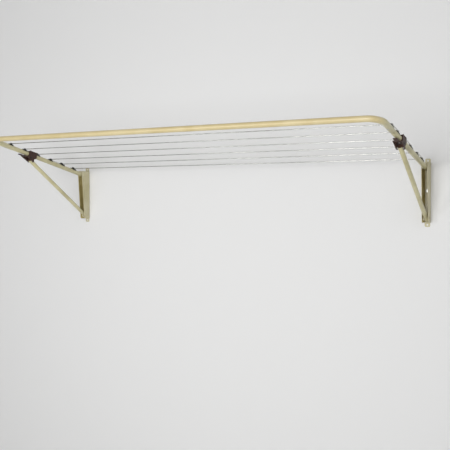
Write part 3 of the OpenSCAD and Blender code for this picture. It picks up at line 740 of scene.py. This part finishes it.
class RACK_OT_lines(bpy.types.Operator):
    """Makes the drying line: six taut runs, the turns between them and the two knotted ends"""
    bl_idname = "rack.lines"
    bl_label = "Drying line"

    def execute(self, context):
        s = context.scene.rack_line
        line = finish("line")
        low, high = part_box("line_run_1")
        line_r = (high.z - low.z) / 2
        turn_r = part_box("line_turns")[1].x - half_span - line_r
        level = {i: open_frame.inverted() @ centre(f"line_run_{i}") for i in LINES}
        for i in LINES:
            built = bmesh.new()
            ends = [Vector((x, *level[i].yz)) for x in (-half_span, half_span)]
            pipe(built, ends, line_r, 0, LINE_SIDES, 0.2 * MM)
            from_bmesh(f"drying_line_{i}", built, open_frame, line, f"line_run_{i}")
        built = bmesh.new()
        for i in LINES[:-1]:
            sign = 1 if i % 2 else -1  # the first turn is on the right, the next on the left
            path = self.bend(sign * half_span, level[i], sign, 1, turn_r)
            path += reversed(self.bend(sign * half_span, level[i + 1], sign, -1, turn_r))
            pipe(built, path, line_r, 0, LINE_SIDES, 0.2 * MM)
        from_bmesh("line_hook_turns", built, open_frame, line, "line_turns")
        built = bmesh.new()
        for i, lean in ((LINES[0], 1), (LINES[-1], -1)):
            path = self.bend(-half_span, level[i], -1, lean, turn_r)
            knot = path[-1] + Vector((0, lean * s.tail, 0))
            pipe(built, path + [knot], line_r, 0, LINE_SIDES, 0.2 * MM)
            self.knot(built, knot, s.knot / 2, line_r)
        from_bmesh("line_knots", built, open_frame, line, "line_ends")
        return {"FINISHED"}

    @staticmethod
    def bend(x, start, sign, lean, turn_r):
        """A quarter turn round a peg: outwards from the run's end, then along the arm."""
        middle = Vector((x, start.y + lean * turn_r, start.z))
        angles = [math.radians(90 * k / 10) for k in range(11)]
        return [middle + turn_r * Vector((sign * math.sin(a), -lean * math.cos(a), 0)) for a in angles]

    @staticmethod
    def knot(built, middle, size, line_r):
        """An overhand knot pulled tight: a trefoil of line with its strands pressed together."""
        steps, scale = 48, (size - line_r) / 3  # the trefoil's formula reaches 3 from its middle
        points = []
        for k in range(steps):
            a = math.tau * k / steps
            x, y = math.sin(a) + 2 * math.sin(2 * a), math.cos(a) - 2 * math.cos(2 * a)
            points.append(middle + scale * Vector((x, y, -1.2 * math.sin(3 * a))))
        loop = [points[-1]] + points + [points[0]]
        stations = [(p, (b - a).normalized(), line_r * 0.9) for a, p, b in zip(loop, loop[1:], loop[2:])]
        skin(built, stations, 12, closed=True)


class RACK_OT_knuckles(bpy.types.Operator):
    """Makes the knuckles that hold the struts, with their caps, levers, springs and screws"""
    bl_idname = "rack.knuckles"
    bl_label = "Knuckles and release levers"

    def execute(self, context):
        s = context.scene.rack_lever
        brown, dark, wire = (finish(n) for n in ("brown", "dark_zinc", "wire"))
        for side in SIDES:
            moulded(side + "_knuckle_body", side + "_knuckle", brown)
            moulded(side + "_knuckle_cap", side + "_knuckle_top", brown)
            moulded(side + "_release_lever", side + "_lever", brown, 0.7 * MM,
                    lambda built: self.ridges(built, side, s))
            self.spring(side, s, wire)
        pressed("knuckle_screws", "knuckle_cap_screws", 0.2 * MM, dark)
        pressed("lever_screws", "lever_shoulder_screws", 0.3 * MM, dark)
        return {"FINISHED"}

    @staticmethod
    def ridges(built, side, s):
        """Grip ridges across the underside of the lever's tongue."""
        tip_len, side_margin, root = 20 * MM, 2.5 * MM, 1 * MM
        place = place_on_arm(side)
        corners = [place.inverted() @ v.co for v in built.verts]
        end = min(c.y for c in corners)
        tip = [c for c in corners if c.y < end + tip_len]
        under, half = min(c.z for c in tip), max(c.x for c in tip) - side_margin
        for k in range(s.ridges):
            y = end + (k + 1) * s.ridge_pitch
            block(built, (-half, y, under - s.ridge_height), (half, y + s.ridge_width, under + root), place)

    @staticmethod
    def spring(side, s, material):
        """A compression spring of round wire, rising evenly through its turns."""
        place = place_on_arm(side)
        node = side + "_lever_spring"
        corners = [place.inverted() @ v.co for v in frame["nodes"][node].data.vertices]
        low = Vector([min(c[k] for c in corners) for k in range(3)])
        high = Vector([max(c[k] for c in corners) for k in range(3)])
        wire_r, steps = s.spring_wire / 2, 20
        coil_r = (high.x - low.x) / 2 - wire_r
        axis = (low + high) / 2
        last = s.spring_turns * steps
        path = []
        for k in range(last + 1):
            a = math.tau * k / steps
            rise = low.z + wire_r + (high.z - low.z - 2 * wire_r) * k / last
            path.append(Vector((axis.x + coil_r * math.cos(a), axis.y + coil_r * math.sin(a), rise)))
        built = bmesh.new()
        pipe(built, path, wire_r, 0, 10, 0.1 * MM)
        from_bmesh(side + "_return_spring", built, place, material, node)


class RACK_PT_panel(bpy.types.Panel):
    """Lists the operators in the sidebar, in the order that main() runs them"""
    bl_idname = "RACK_PT_panel"
    bl_label = "Drying Rack"
    bl_space_type = "VIEW_3D"
    bl_region_type = "UI"
    bl_category = "Drying Rack"

    def draw(self, context):
        for operator in OPERATORS:
            self.layout.operator(operator.bl_idname)


SETTINGS = {
    "rack_camera": RackCameraSettings,
    "rack_stage": RackStageSettings,
    "rack_enamel": RackEnamelSettings,
    "rack_brackets": RackBracketSettings,
    "rack_tubes": RackTubeSettings,
    "rack_line": RackLineSettings,
    "rack_lever": RackLeverSettings,
}
OPERATORS = (
    RACK_OT_camera, RACK_OT_stage, RACK_OT_brackets, RACK_OT_frame, RACK_OT_struts,
    RACK_OT_hooks, RACK_OT_lines, RACK_OT_knuckles,
)


def register():
    for cls in (*SETTINGS.values(), *OPERATORS, RACK_PT_panel):
        bpy.utils.register_class(cls)
    for name, cls in SETTINGS.items():
        setattr(bpy.types.Scene, name, bpy.props.PointerProperty(type=cls))


def unregister():
    for name in SETTINGS:
        delattr(bpy.types.Scene, name)
    for cls in (RACK_PT_panel, *reversed(OPERATORS), *reversed(list(SETTINGS.values()))):
        bpy.utils.unregister_class(cls)


def main():
    register()
    bpy.ops.rack.camera()
    bpy.ops.rack.stage()
    bpy.ops.rack.brackets()
    bpy.ops.rack.frame()
    bpy.ops.rack.struts()
    bpy.ops.rack.hooks()
    bpy.ops.rack.lines()
    bpy.ops.rack.knuckles()


if __name__ == "__main__":
    main()
